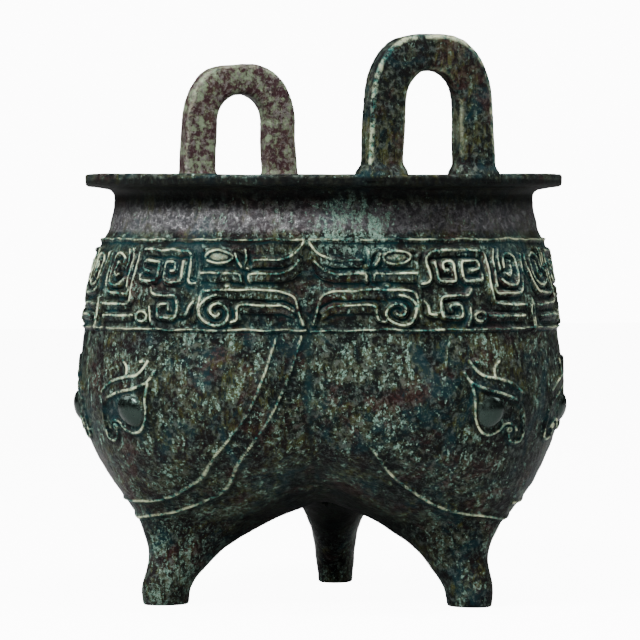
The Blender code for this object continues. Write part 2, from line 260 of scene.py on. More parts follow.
def turned(points, azimuth):
    """The points with the lobe's +X turned to an azimuth, in degrees."""
    a = math.radians(azimuth)
    x = points[..., 0] * math.cos(a) - points[..., 1] * math.sin(a)
    y = points[..., 0] * math.sin(a) + points[..., 1] * math.cos(a)
    return np.stack([x, y, points[..., 2]], axis=-1)


def placed(points, azimuth=0.0):
    """From a lobe's own frame to the row's: turned, slipped with the mould, and moved."""
    moved = turned(points, azimuth)
    shift = SLIP * np.exp(-(((moved[..., 2] - SLIP_HEIGHT) / SLIP_SPREAD) ** 2))
    a = math.radians(SLIP_AZIMUTH)
    moved[..., 0] += shift * math.cos(a)
    moved[..., 1] += shift * math.sin(a) + AXIS_Y
    return moved


# %% [markdown]
# ## Guide surface
# The rays are slow, so they make a guide with a point every millimetre or two.  Finer grids
# are then read from the guide by Catmull-Rom weights, a smooth curve through every
# point.  Each finer grid is two small matrix products, and grids that share a border row
# have the same points there.

# %% Guide surface
BAND_TOP, BAND_LOW = 135.9 * MM, 101.2 * MM  # the frieze panels' upper and lower border
UNDER_START = 62.0 * MM
GUIDE_ACROSS = 120

NECK_HEIGHTS = np.linspace(NECK_TOP, BAND_TOP, 11)
BAND_HEIGHTS = np.linspace(BAND_TOP, BAND_LOW, 25)[1:]
BELLY_HEIGHTS = np.linspace(BAND_LOW, UNDER_START, 19)[1:]
LEVEL_HEIGHTS = np.concatenate([NECK_HEIGHTS, BAND_HEIGHTS, BELLY_HEIGHTS])

ENDS, FRONTS = row_ends(outside, LEVEL_HEIGHTS, 24, 34, 31.0 * MM, 1.2 * MM)
GUIDE = lobe_grid(outside, ENDS, FRONTS, GUIDE_ACROSS)

BAND_START = len(NECK_HEIGHTS) - 1  # guide row on the frieze panels' upper border
BELLY_START = BAND_START + len(BAND_HEIGHTS)
LAST_ROW = len(GUIDE) - 1
print("guide:", GUIDE.shape[:2], "points")


def resample(count_in, places):
    """Catmull-Rom weights that read a row of count_in points at fractional places."""
    i = np.clip(np.floor(places).astype(int), 0, count_in - 2)
    t = places - i
    weights = np.zeros((len(places), count_in))
    terms = (
        (-1, -0.5 * t + t**2 - 0.5 * t**3),
        (0, 1 - 2.5 * t**2 + 1.5 * t**3),
        (1, 0.5 * t + 2 * t**2 - 1.5 * t**3),
        (2, -0.5 * t**2 + 0.5 * t**3),
    )
    rows = np.arange(len(places))
    for offset, value in terms:
        np.add.at(weights, (rows, np.clip(i + offset, 0, count_in - 1)), value)
    return weights


def fine_grid(guide, row_places, columns, crowding=0.0):
    """The guide read at fractional rows, and at columns that may crowd to the middle."""
    down = resample(len(guide), np.asarray(row_places, float))
    t = np.linspace(0, 1, columns + 1)
    t = t + crowding * np.sin(2 * math.pi * t) / (2 * math.pi)
    over = resample(guide.shape[1], t * (guide.shape[1] - 1))
    return np.einsum("ri,ijk,cj->rck", down, guide, over, optimize=True)


def normals_of(grid):
    """Unit normals that point out.  Along both borders they lie in the plane of the cleft,
    or in the lobe's own middle plane once the rows have passed the middle of the underside."""
    down = np.gradient(grid, axis=0)
    over = np.gradient(grid, axis=1)
    normal = np.cross(over, -down)
    in_leg = (np.abs(grid[:, -1, 1]) < 0.05 * MM)[:, None]
    for column, sign in ((0, -1.0), (-1, 1.0)):
        cleft = np.array([-math.sin(math.radians(60)) * sign, math.cos(math.radians(60)), 0])
        plane = np.where(in_leg, np.array([0.0, 1.0, 0.0]), cleft)
        across = np.einsum("ij,ij->i", normal[:, column], plane)
        normal[:, column] -= across[:, None] * plane
    return normal / np.maximum(np.linalg.norm(normal, axis=2, keepdims=True), 1e-12)


def along_rows(grid):
    """Distance along each row from its middle, in mm: negative on the left half."""
    length = np.linalg.norm(np.diff(grid, axis=1), axis=2)
    gone = np.concatenate([np.zeros((len(grid), 1)), np.cumsum(length, axis=1)], axis=1)
    return (gone - gone[:, -1:] / 2) / MM


# %% [markdown]
# ## Uneven by hand
# Nothing about the vessel is exact: the clay was cut by hand, the metal shrank, and three
# thousand years in the ground ate at it.  A sum of a few sine waves in turned directions
# is a cheap, repeatable stand-in for noise, and it is the same on both sides of a seam
# because it depends only on a point's place.


# %% Uneven by hand
def waves(points, size, seed):
    """A smooth value from about -1 to 1 that varies over roughly size metres."""
    rng = np.random.default_rng(seed)
    total = np.zeros(points.shape[:-1])
    for _ in range(9):
        direction = rng.normal(size=3)
        direction *= rng.uniform(0.6, 1.5) * 2 * math.pi / size / np.linalg.norm(direction)
        total += np.sin(points @ direction + rng.uniform(0, 2 * math.pi))
    return total / 3.0


def step_up(x, low, high):
    """0 below low, 1 above high, and a smooth rise between."""
    t = np.clip((x - low) / (high - low), 0, 1)
    return t * t * (3 - 2 * t)


# %% [markdown]
# ## Strokes
# The ornament is cut as lines of even width, so a stroke is a path and a height that
# depends only on the distance from it.  Paths are polylines, made of straight runs,
# rounded corners and spirals.  Everything is drawn on one half of a lobe, because the
# carver mirrored each mask about its nose and each dragon about the cleft.


# %% Stroke tools
def rounded(points, radius):
    """The polyline with each inner corner replaced by an arc of about that radius."""
    p = [np.array(q, float) for q in points]
    out = [p[0]]
    for a, b, c in zip(p, p[1:], p[2:]):
        cut = min(radius, np.linalg.norm(b - a) * 0.49, np.linalg.norm(c - b) * 0.49)
        start = b + (a - b) / np.linalg.norm(a - b) * cut
        end = b + (c - b) / np.linalg.norm(c - b) * cut
        for t in np.linspace(0, 1, 6):
            out.append(start * (1 - t) ** 2 + b * 2 * t * (1 - t) + end * t**2)
    out.append(p[-1])
    return np.array(out)


def spiral(centre, size, start, sweep, inner=0.2, squash=1.0):
    """A path that winds in from size to inner * size, over sweep degrees from start."""
    t = np.linspace(0, 1, max(12, int(abs(sweep) / 15)))
    angle = np.radians(start + sweep * t)
    reach = size * (1 - (1 - inner) * t)
    return np.stack([centre[0] + reach * np.cos(angle), centre[1] + squash * reach * np.sin(angle)], 1)


def flowing(points):
    """A smooth curve through the points."""
    return resample(len(points), np.linspace(0, len(points) - 1, 12 * len(points))) @ np.array(points, float)


def oval(centre, half_width, half_height):
    """A closed ellipse."""
    angle = np.linspace(0, 2 * math.pi, 33)
    return np.stack(
        [centre[0] + half_width * np.cos(angle), centre[1] + half_height * np.sin(angle)], 1
    )


def distance_to(x, y, path, window=3.0):
    """Distance of each point from a path, and window where it is further than that."""
    best = np.full(x.shape, window)
    low, high = path.min(axis=0) - window, path.max(axis=0) + window
    near = (x > low[0]) & (x < high[0]) & (y > low[1]) & (y < high[1])
    px, py = x[near], y[near]
    found = np.full(px.shape, window)
    for a, b in zip(path, path[1:]):
        run = b - a
        share = ((px - a[0]) * run[0] + (py - a[1]) * run[1]) / max(run @ run, 1e-9)
        share = np.clip(share, 0, 1)
        found = np.minimum(found, np.hypot(px - a[0] - share * run[0], py - a[1] - share * run[1]))
    best[near] = found
    return best


def bar(distance, width, height, shoulder=0.55):
    """A raised line: flat over most of its width, with a soft shoulder each side."""
    return height * (1 - step_up(distance, width / 2 - shoulder / 2, width / 2 + shoulder / 2))


def dome(x, y, centre, half_width, half_height, height, power=0.5):
    """A low boss with an oval foot: height * (1 - r^2) ** power."""
    r2 = ((x - centre[0]) / half_width) ** 2 + ((y - centre[1]) / half_height) ** 2
    return height * np.clip(1 - r2, 0, 1) ** power


# %% [markdown]
# ## The frieze
# Round the shoulder runs a band of dragons in profile, between two raised lines.  Two
# dragons meet at each cleft, jaw to jaw.  Behind each head come squared scrolls, and a
# tall looped plume stands beside the middle of the lobe.  x is the distance from the
# lobe's middle line in mm, and y is the height above the feet.


# %% The frieze's strokes
# Kinds of line: width and height of its rounded body, width and height of the crest
# along its back, and how far the crest is rubbed.
EDGE = (1.3, 0.75, 0.6, 0.3, 0.8)
RIBBON = (2.1, 1.15, 0.7, 0.3, 1.0)
THIN = (1.6, 1.25, 0.65, 0.25, 0.95)
FAINT = (1.4, 0.85, 0.7, 0.1, 0.35)


def frieze_lines():
    """Paths of the raised lines on one half of a lobe, each with its kind."""
    return [
        # Border lines and the divider in the middle.
        ([(-2, 134.7), (92, 134.7)], EDGE),
        ([(-2, 102.7), (92, 102.5)], EDGE),
        (rounded([(0.4, 102.5), (1.0, 108.0), (0.2, 113.4)], 2), RIBBON),
        # The plume: an open hook round a tall loop.
        (rounded([(1.6, 129.4), (2.4, 121.5), (5.5, 115.6), (18.6, 115.2), (19.4, 117.2)], 4), RIBBON),
        (rounded([(12.6, 124.6), (12.2, 128.9), (8.0, 130.0), (4.9, 128.2), (5.3, 120.6), (8.2, 118.2),
                  (13.2, 118.3), (15.2, 120.2)], 2.6), RIBBON),
        (rounded([(9.3, 126.6), (8.8, 122.8), (10.8, 121.2), (12.2, 122.2)], 1.6), THIN),
        (rounded([(13.6, 131.4), (14.9, 128.6), (15.2, 123.4)], 2), THIN),
        (rounded([(16.2, 131.4), (17.5, 128.4), (18.0, 118.2)], 2), THIN),
        # The squared line below the plume, and the bar with its ring under it.
        (rounded([(20.9, 129.8), (20.7, 111.5), (3.6, 111.3)], 2), RIBBON),
        ([(5.6, 107.2), (23.2, 107.4)], RIBBON),
        (oval((27.1, 107.0), 2.4, 1.7), THIN),
        (rounded([(30.8, 110.4), (31.0, 106.6), (32.4, 104.0)], 2), THIN),
        # Upper band line with its turn down, and the two upper scrolls.
        (rounded([(23.2, 131.0), (44.2, 130.8), (46.0, 128.6), (45.9, 120.2), (47.0, 119.2), (48.8, 119.2)],
                 1.6), RIBBON),
        (rounded([(24.2, 122.0), (24.6, 119.9), (32.2, 119.8), (32.5, 127.0), (24.8, 127.2), (24.6, 123.9),
                  (28.4, 123.4)], 1.6), RIBBON),
        (rounded([(42.8, 126.9), (43.0, 119.7), (35.6, 119.6), (35.3, 126.6), (39.8, 126.8), (40.0, 123.6),
                  (38.2, 123.5)], 1.8), RIBBON),
        # The lower scroll with a small curl beside it.
        (rounded([(30.4, 117.2), (31.8, 114.8), (41.9, 114.8), (42.2, 107.0), (34.2, 106.6), (34.0, 111.6),
                  (38.6, 111.7), (38.8, 109.6)], 1.9), RIBBON),
        (rounded([(44.0, 108.0), (46.4, 108.2), (46.6, 110.6), (48.3, 112.6)], 1.2), RIBBON),
        # The head's back line and the spiral of the lower jaw.
        (rounded([(48.4, 129.6), (49.6, 127.0), (49.5, 108.0), (48.6, 105.6)], 2), FAINT),
        (spiral((57.2, 109.0), 7.2, 92, 590, 0.14, 0.88), RIBBON),
        (rounded([(50.4, 110.0), (51.0, 116.2), (54.8, 117.2), (80.4, 116.8), (84.6, 114.6), (86.2, 109.4),
                  (87.2, 105.0)], 3.2), THIN),
        (rounded([(62.2, 105.4), (64.6, 106.2), (64.8, 111.7), (80.0, 111.7), (84.4, 109.2)], 1.8), THIN),
        ([(60.6, 118.4), (61.1, 118.5)], RIBBON),
        # The jaws: two long bars that reach to the cleft and turn up at their ends.
        (rounded([(70.0, 128.0), (80.2, 128.0), (85.6, 129.9), (88.6, 134.0)], 4), THIN),
        (rounded([(50.4, 122.8), (65.4, 122.8), (65.6, 120.2)], 1.0), THIN),
        (rounded([(68.4, 120.0), (68.4, 122.8), (79.0, 122.9), (83.6, 124.4), (86.6, 127.6)], 2.2), THIN),
        # The notch between snout and eye, and the brow.
        (rounded([(62.9, 129.8), (63.8, 126.8), (65.6, 125.4)], 1.2), THIN),
        (rounded([(67.0, 131.0), (67.1, 125.4), (68.6, 124.9)], 1.0), THIN),
        (rounded([(50.8, 131.1), (64.4, 131.2), (66.4, 129.9)], 1.4), FAINT),
        (oval((57.0, 128.6), 5.0, 2.3), THIN),
    ]


def bodies():
    """Broad flat bodies below the long lines: low path, high path and height."""
    return [
        ([(69.6, 124.9), (80, 125.0), (84.6, 126.2), (88.0, 129.4)],
         [(69.6, 128.2), (80, 128.2), (85.4, 130.2), (88.0, 133.0)], 0.97),
        ([(67.9, 119.6), (80, 119.7), (84, 120.6), (87.0, 123.0)],
         [(67.9, 122.9), (79, 123.0), (83.6, 124.6), (87.0, 127.6)], 1.01),
        ([(50.4, 119.7), (65.6, 119.8)], [(50.4, 122.9), (65.6, 122.9)], 0.92),
        ([(50.8, 124.8), (62.4, 125.0)], [(50.8, 131.0), (62.4, 131.0)], 0.47),
        ([(61.4, 113.6), (80, 113.5), (86.0, 110.4)], [(61.4, 117.0), (80, 116.9), (86.0, 113.8)], 0.94),
        ([(64.8, 108.6), (80, 108.4), (84.6, 106.4)], [(64.8, 111.7), (80, 111.7), (84.6, 109.6)], 0.94),
        ([(5.6, 105.2), (23.2, 105.4)], [(5.6, 107.3), (23.2, 107.5)], 0.81),
        ([(3.6, 109.4), (20.8, 109.4)], [(3.6, 111.4), (20.8, 111.4)], 0.68),
        ([(23.4, 128.8), (44.8, 128.8)], [(23.4, 131.1), (44.8, 131.1)], 0.74),
        ([(51.6, 114.2), (61.4, 114.2)], [(51.6, 117.2), (61.4, 117.0)], 0.74),
    ]


def plateau(x, y, low_path, high_path, height, edge=0.7):
    """A flat raised body between two curves given as (x, y) points, with soft edges."""
    low = np.interp(x, *np.array(low_path, float).T)
    high = np.interp(x, *np.array(high_path, float).T)
    left, right = low_path[0][0], low_path[-1][0]
    depth = np.minimum(np.minimum(y - low, high - y), np.minimum(x - left, right - x))
    return height * step_up(depth, -edge / 2, edge)


def frieze_relief(x, y):
    """Height of the frieze over the wall, and of its rubbed crests, in mm."""
    raised = np.maximum(dome(x, y, (57.0, 128.6), 4.1, 1.8, 1.35), dome(x, y, (27.1, 107.0), 1.4, 0.9, 0.9))
    crest = 0.6 * dome(x, y, (57.0, 128.6), 4.0, 1.7, 1.0)
    for low, high, height in bodies():
        raised = np.maximum(raised, plateau(x, y, low, high, height))
    for path, (width, height, crest_width, crest_height, rubbed) in frieze_lines():
        gone = distance_to(x, y, np.array(path, float))
        raised = np.maximum(raised, bar(gone, width, height, 1.0))
        crest = np.maximum(crest, bar(gone, crest_width, rubbed, 0.5))
        raised = np.maximum(raised, bar(gone, crest_width, height + crest_height, 0.5))
    return raised, crest


# %% [markdown]
# ## The mask and the collar lines
# On the face of each lobe two glossy eyes bulge under curled brows, the sparest form of
# the animal mask.  A double raised line hangs from the frieze beside each cleft and
# swings down under the mask, like the edge of a bib.  a is the angle about the vessel's
# axis from the lobe's middle line in degrees, and y is the height.

# %% The mask's strokes
EYE_AT = (15.0, 73.4)
EYE_HALF = (4.0, 5.7)  # degrees, mm
EYE_STAND = 2.5
MM_PER_DEGREE = 1.42  # at the eyes, for strokes of even width


def mask_lines():
    """Paths of brow, lid and curls on one half of a lobe: width, height, how far rubbed."""
    return [
        (rounded([(6.3, 79.8), (9.2, 83.0), (13.6, 85.1), (17.2, 85.7), (19.2, 88.2), (20.6, 91.4)], 2.5),
         1.4, 1.0, 1.0),
        (rounded([(14.0, 85.2), (14.3, 88.8), (12.8, 91.0)], 1.6), 1.2, 0.8, 0.9),
        (flowing([(22.2, 87.4), (20.4, 83.6), (16.3, 81.2), (12.4, 79.7), (8.3, 77.3)]), 1.3, 0.9, 1.0),
        (flowing([(8.3, 77.3), (6.2, 74.2), (5.2, 69.0), (5.0, 65.4)]), 1.3, 0.8, 0.4),
        (flowing([(5.0, 65.4), (5.2, 62.8), (7.0, 61.9), (8.8, 63.2), (9.3, 65.0)]), 1.3, 0.95, 1.0),
        (flowing([(20.6, 83.0), (19.8, 78.6), (19.4, 74.4), (18.8, 70.4), (17.0, 66.8), (14.6, 65.4),
                  (12.2, 66.6), (10.8, 69.0), (8.6, 68.8), (7.4, 66.6)]), 1.3, 1.0, 1.0),
        (oval((9.2, 66.9), 0.5, 0.7), 0.9, 0.9, 1.0),
        ([(18.4, 91.0), (18.9, 91.1)], 1.9, 0.9, 1.0),
    ]


def brow_body():
    """The raised ribbon between the brow's two lines."""
    return rounded([(7.4, 78.4), (10.6, 81.3), (15.0, 83.0), (18.6, 84.4), (20.8, 88.0)], 3.0)


def collar_lines():
    """The two collar lines, from the frieze beside the cleft to the middle of the lobe."""
    inner = flowing([(52.0, 102.0), (47.6, 84.5), (41.6, 68.0), (30.2, 52.4), (15.0, 41.8), (-0.5, 38.8)])
    outer = flowing([(57.9, 102.0), (53.8, 84.0), (46.8, 66.2), (35.2, 50.2), (19.0, 38.4), (-0.5, 32.6)])
    return inner, outer


def belly_relief(angle, height, fade):
    """Relief over the belly wall in mm, its rubbed crests, and how much a point is eye.

    fade is 1 where the collar's inner line, and the upper part of its outer line, are worn away."""
    x, y = angle * MM_PER_DEGREE, height
    scale = np.array([MM_PER_DEGREE, 1.0])
    raised = bar(distance_to(x, y, brow_body() * scale), 3.6, 0.5, 1.2)
    crest = np.zeros(x.shape)
    for path, width, high, rubbed in mask_lines():
        gone = distance_to(x, y, np.array(path, float) * scale)
        raised = np.maximum(raised, bar(gone, width, high, 1.0))
        crest = np.maximum(crest, bar(gone, 0.85, rubbed, 0.7))
    inner, outer = collar_lines()
    for path in (inner, outer):
        gone = distance_to(x, y, path * scale)
        kept = 1 - fade if path is inner else 1 - fade * step_up(y, 56.0, 66.0)
        raised = np.maximum(raised, bar(gone, 1.2, 0.75, 1.2) * kept)
        crest = np.maximum(crest, bar(gone, 0.85, 0.85, 0.85) * kept)
    centre = (EYE_AT[0] * MM_PER_DEGREE, EYE_AT[1])
    half = (EYE_HALF[0] * MM_PER_DEGREE * 0.9, EYE_HALF[1])
    ball = dome(x, y, centre, half[0], half[1], EYE_STAND, 0.6)
    socket = dome(x, y, centre, half[0] + 1.6, half[1] + 1.6, 0.45, 0.5)
    eye = step_up(ball, 0.3, 1.0)
    return np.maximum(raised - socket, 0) * (1 - eye) + ball, crest * (1 - eye), eye


# %% [markdown]
# ## Closed panels
# The mesh is parted where the real surface has a crease, because one mesh for the whole
# casting would be too heavy.  Each panel is a closed slab: a fine front, a
# back of coarse cells a little way into the wall, and a rim whose faces join the two.
# All of them together stand for the one cast piece.

# %% Closed panels
BACK_STEP = 4
BACK_DEPTH = 1.3 * MM


def link_mesh(name, vertices, faces, values, weld=False):
    """A smooth-shaded mesh object from arrays, with each named value on its vertices."""
    mesh = bpy.data.meshes.new(name)
    mesh.from_pydata(vertices.astype(np.float32), [], faces)
    if weld:
        work = bmesh.new()
        work.from_mesh(mesh)
        bmesh.ops.remove_doubles(work, verts=work.verts, dist=0.004 * MM)
        work.to_mesh(mesh)
        work.free()
    for key, value in values.items():
        attribute = mesh.attributes.new(key, "FLOAT", "POINT")
        attribute.data.foreach_set("value", np.asarray(value, np.float32).ravel())
    mesh.shade_smooth()
    mesh.set_sharp_from_angle(angle=math.radians(62))
    mesh.validate()
    obj = bpy.data.objects.new(name, mesh)
    bpy.context.scene.collection.objects.link(obj)
    return obj


def quads(index):
    """Faces of a grid of vertex numbers, wound to face out."""
    corners = (index[:-1, :-1], index[1:, :-1], index[1:, 1:], index[:-1, 1:])
    return np.stack([c.ravel() for c in corners], 1)


def closed_panel(name, front, normal, values):
    """A slab whose back repeats every BACK_STEP-th point of the front, deeper in."""
    rows, columns = front.shape[:2]
    index = np.arange(rows * columns).reshape(rows, columns)
    back = (front - normal * BACK_DEPTH)[::BACK_STEP, ::BACK_STEP]
    behind = rows * columns + np.arange(back.shape[0] * back.shape[1]).reshape(back.shape[:2])
    faces = quads(index).tolist() + quads(behind)[:, ::-1].tolist()
    rim = (  # fine edge, coarse edge, whether the winding turns over
        (index[0], behind[0], False),
        (index[-1], behind[-1], True),
        (index[:, 0], behind[:, 0], True),
        (index[:, -1], behind[:, -1], False),
    )
    for fine, coarse, over in rim:
        for k in range(len(coarse) - 1):
            ring = fine[k * BACK_STEP : (k + 1) * BACK_STEP + 1].tolist()
            ring += [int(coarse[k + 1]), int(coarse[k])]
            faces.append(ring[::-1] if over else ring)
    points = np.concatenate([front.reshape(-1, 3), back.reshape(-1, 3)])
    spare = np.zeros(back.shape[0] * back.shape[1])
    packed = {key: np.concatenate([value.ravel(), spare]) for key, value in values.items()}
    return link_mesh(name, points, faces, packed)


def lobe_name(azimuth):
    """Which lobe stands at an azimuth, as the CAD mounts name them."""
    return {-90.0: "front", 30.0: "right", 150.0: "left"}[azimuth]


# %% [markdown]
# ## Frieze panels
# The height field is worked out once and used for all three lobes.  On each lobe its
# strokes wander a little and are worn down by a different amount, so no two are alike.

# %% Frieze panels
FRIEZE_ROWS, FRIEZE_COLUMNS = 100, 480
FRIEZE_HALF = 89.4  # mm along the wall, from the middle of a lobe to its cleft


def make_frieze(azimuth, seed):
    """One third of the frieze as a closed panel."""
    places = np.linspace(BAND_START, BELLY_START, FRIEZE_ROWS + 1)
    grid = fine_grid(GUIDE, places, FRIEZE_COLUMNS)
    normal = normals_of(grid)
    at = placed(grid, azimuth)
    reach = along_rows(grid)
    reach *= FRIEZE_HALF / np.maximum(reach[:, -1:], 1.0)
    x = np.abs(reach) + 0.28 * waves(at, 9 * MM, seed)
    y = grid[..., 2] / MM + 0.22 * waves(at, 11 * MM, seed + 1)
    cleft = step_up(FRIEZE_HALF - np.abs(reach), 0.0, 1.2)
    height, crest = frieze_relief(x, y)
    worn = 1.0 + 0.12 * waves(at, 14 * MM, seed + 2)
    pits = 0.05 * waves(at, 2.6 * MM, 31) + 0.06 * waves(at, 6 * MM, 32)
    border = step_up(np.minimum(BAND_TOP - grid[..., 2], grid[..., 2] - BAND_LOW) / MM, 0.0, 0.5)
    lift = (height * worn * cleft + pits * (0.4 + height)) * border
    front = placed(grid + normal * (lift * MM)[..., None], azimuth)
    inward = turned(normal, azimuth)
    # Painted shade: a quarter over the frieze's flat ground, and more between and right below the raised
    # parts.
    shadowed = (0.25 * (height < 0.15) + painted_shade_of(height * cleft)) * border
    values = {"ridge": crest * cleft * border, "painted_shade": shadowed, "eye": 0 * crest}
    return closed_panel("frieze_" + lobe_name(azimuth), front, inward, values)


def painted_shade_of(height):
    """How much painted shade a point gets, from 0 to 1: more between raised parts and right below them."""
    mean = height.copy()
    for _ in range(10):
        padded = np.pad(mean, 1, mode="edge")
        mean = (padded[:-2, 1:-1] + padded[2:, 1:-1] + padded[1:-1, :-2] + padded[1:-1, 2:]) / 4
    above = np.concatenate([height[:3], height[:-3]])  # rows run down, about 1 mm in three
    return np.clip((mean - height) * 1.6 + np.clip(above - height, 0, 1) * 0.7, 0, 1)


frieze_panels = [make_frieze(azimuth, 40 + 10 * i) for i, azimuth in enumerate(LEG_AZIMUTHS)]
print("frieze panels:", [len(p.data.polygons) for p in frieze_panels], "faces each")

# %% [markdown]
# ## Belly panels
# Below the frieze each lobe bears its mask and its collar lines, and draws in to the leg.
# The collar is worn away on the upper part of some sides.  Casting and corrosion have
# left the wall slightly dented, and thickly crusted in spots.

# %% Belly panels
UPPER_ROWS, UNDER_ROWS, LEG_ROWS, BELLY_COLUMNS = 112, 84, 44, 352
MASK_END = 18  # guide rows from the frieze down to the underside, where the mask lies
UNDER_END = 42  # guide rows from the frieze down to the leg
WORN_SIDES = {(30.0, -1): 0.9, (150.0, 1): 0.4}  # how far the collar is worn, by lobe and side
CROWDING = 0.3  # columns lie this share closer than the mean on the lobe's face


def make_belly(azimuth, seed):
    """One lobe with its leg as a closed panel."""
    upper = np.linspace(BELLY_START, BELLY_START + MASK_END, UPPER_ROWS + 1)
    under = np.linspace(BELLY_START + MASK_END, BELLY_START + UNDER_END, UNDER_ROWS + 1)[1:]
    leg = np.linspace(BELLY_START + UNDER_END, LAST_ROW, LEG_ROWS + 1)[1:]
    grid = fine_grid(GUIDE, np.concatenate([upper, under, leg]), BELLY_COLUMNS, CROWDING)
    normal = normals_of(grid)
    at = placed(grid, azimuth)
    angle = np.degrees(np.arctan2(grid[..., 1], grid[..., 0]))
    y = grid[..., 2] / MM
    outer_side = step_up(grid[..., 0] / MM, 12.0, 20.0)
    wander = 0.3 * waves(at, 26 * MM, seed)
    fade = WORN_SIDES.get((azimuth, 1), 0.0) * (angle > 0) + WORN_SIDES.get((azimuth, -1), 0.0) * (angle < 0)
    height, crest, eye = belly_relief(np.abs(angle) + wander, y + 0.3 * waves(at, 28 * MM, seed + 1), fade)
    faces_out = step_up(normal[..., 0] + 0.4, 0.0, 0.35)
    height *= outer_side * faces_out
    crest *= outer_side * faces_out
    cleft = step_up(60.0 - np.abs(angle), 0.4, 1.4)
    dents = 0.16 * waves(at, 22 * MM, 21) + 0.07 * waves(at, 7 * MM, 22) + 0.03 * waves(at, 2.8 * MM, 23)
    row = np.arange(len(grid))[:, None]
    border = step_up(row, 0, 3) * step_up(len(grid) - 1 - row, 0, 4)
    lift = (height * cleft + dents * (1 - eye)) * border
    front = placed(grid + normal * (lift * MM)[..., None], azimuth)
    # Painted shade beside and right below the mask's and collar's raised lines, and a painted dark line of
    # shade along each cleft.
    shadowed = painted_shade_of(np.clip(height, 0, 1.2) * cleft * (1 - eye))
    cleft_shade = 1 - step_up(60.0 - np.abs(angle), 0.1, 1.6)
    shadowed = np.maximum(shadowed, 0.75 * cleft_shade * outer_side)
    values = {"ridge": crest * cleft * border, "painted_shade": shadowed, "eye": eye * outer_side}
    return closed_panel("lobe_" + lobe_name(azimuth), front, turned(normal, azimuth), values)


belly_panels = [make_belly(azimuth, 70 + 10 * i) for i, azimuth in enumerate(LEG_AZIMUTHS)]
print("lobe panels:", [len(p.data.polygons) for p in belly_panels], "faces each")

# %% [markdown]
# ## Core: neck, lip and hollow
# The core is the casting itself, closed and hollow, with walls of the true thickness.
# Under the panels it lies a little deeper, so that they cover it without touching.  Its
# lip is a turned profile that is carried round on the neck's own columns.  The rim has
# settled unevenly: it is a touch higher at the two sides than over the middle.

# %% Core
CORE_COLUMNS = 66
SUNK = 0.7 * MM
LIP_WARP = 1.6 * MM
WARP_AZIMUTH = -26.0  # the low line of the lip's warp


def lip_profile():
    """Radius and height of the lip, from the neck outside, over, to the mouth."""
    mouth = NECK_RADIUS - WALL
    under = LIP_TOP - LIP_ROOT
    edge_low = LIP_TOP - LIP_EDGE
    corners = [
        (NECK_RADIUS + 0.2 * MM, NECK_TOP + 0.6 * MM),
        (NECK_RADIUS + 0.3 * MM, under - 1.2 * MM),
        (NECK_RADIUS + 1.8 * MM, under + 0.1 * MM),
        (LIP_RADIUS - 4.0 * MM, edge_low - 0.2 * MM),
        (LIP_RADIUS - 0.2 * MM, edge_low),
        (LIP_RADIUS, LIP_TOP - 0.2 * MM),
        (LIP_RADIUS - 4.0 * MM, LIP_TOP),
        (mouth + 3.0 * MM, LIP_TOP),
        (mouth, LIP_TOP - 0.3 * MM),
        (mouth - 0.1 * MM, LIP_TOP - 4.0 * MM),
    ]
    return rounded(corners, 1.2 * MM)


def core_rows():
    """The core's rows in a lobe's frame: outer wall, lip and cavity, from foot to floor."""
    neck = fine_grid(GUIDE, np.linspace(0, BAND_START, 14), CORE_COLUMNS)
    covered = np.linspace(BAND_START, LAST_ROW, 84)
    under = fine_grid(GUIDE, covered, CORE_COLUMNS)
    depth = step_up(np.arange(84), 0, 1.0) * step_up(83 - np.arange(84), 0, 1.0)
    under = under - normals_of(under) * (SUNK * depth)[:, None, None]
    foot = under[-1]
    sole = foot * np.array([1.0, 1.0, 0.0])
    middle = (sole.max(axis=0) + sole.min(axis=0)) / 2
    feet = [middle + (sole - middle) * s + np.array([0, 0, h * MM]) for s, h in
            ((0.97, 0.35), (0.9, 0.0), (0.6, 0.0), (0.3, 0.0), (0.0, 0.0))]
    heights = np.linspace(153.0, 66.0, 30) * MM
    ends, fronts = row_ends(inside, heights, 12, 10, 40.0 * MM, 36.5 * MM)
    hollow = lobe_grid(inside, ends, fronts, CORE_COLUMNS)
    low = np.array([hollow[-1][:, 0].mean(), 0.0, CAVITY_FLOOR])
    floor = [low + (hollow[-1] - low) * s for s in (0.5, 0.0)]
    lip = []
    for radius, height in lip_profile():
        ring = neck[0] * (radius / np.linalg.norm(neck[0][:, :2], axis=1))[:, None]
        ring[:, 2] = height
        lip.append(ring)
    outer = np.concatenate([neck, under[1:], np.array(feet)])
    return np.concatenate([outer[::-1], np.array(lip), hollow, np.array(floor)])


def uneven_lip(points):
    """Lifts the lip where its disc is warped, and leaves its rim slightly untrue."""
    share = step_up(points[..., 2], 150 * MM, 157 * MM)
    reach = np.hypot(points[..., 0], points[..., 1] - AXIS_Y) / LIP_RADIUS
    around = np.arctan2(points[..., 1] - AXIS_Y, points[..., 0]) - math.radians(WARP_AZIMUTH)
    lift = LIP_WARP * (np.sin(around) ** 2 - 0.15) * np.clip(reach, 0, 1) ** 3
    rim = 0.18 * MM * waves(points, 26 * MM, 5) + 0.1 * MM * waves(points, 7 * MM, 6)
    moved = points.copy()
    moved[..., 2] += share * (lift + 0.5 * rim)
    outward = points[..., :2] / np.maximum(np.hypot(points[..., 0], points[..., 1]), MM)[..., None]
    moved[..., :2] += outward * (share * rim * step_up(reach, 0.95, 1.0))[..., None]
    return moved


def make_core():
    """The three thirds as one closed mesh: their border points are welded at the clefts."""
    rows = core_rows()
    points, faces = [], []
    for k, azimuth in enumerate(LEG_AZIMUTHS):
        index = np.arange(rows[..., 0].size).reshape(rows.shape[:2]) + k * rows[..., 0].size
        points.append(uneven_lip(placed(rows, azimuth)).reshape(-1, 3))
        faces.append(quads(index)[:, ::-1])
    return link_mesh("vessel_core", np.concatenate(points), np.concatenate(faces).tolist(), {}, weld=True)


core = make_core()
print("core:", len(core.data.polygons), "faces")

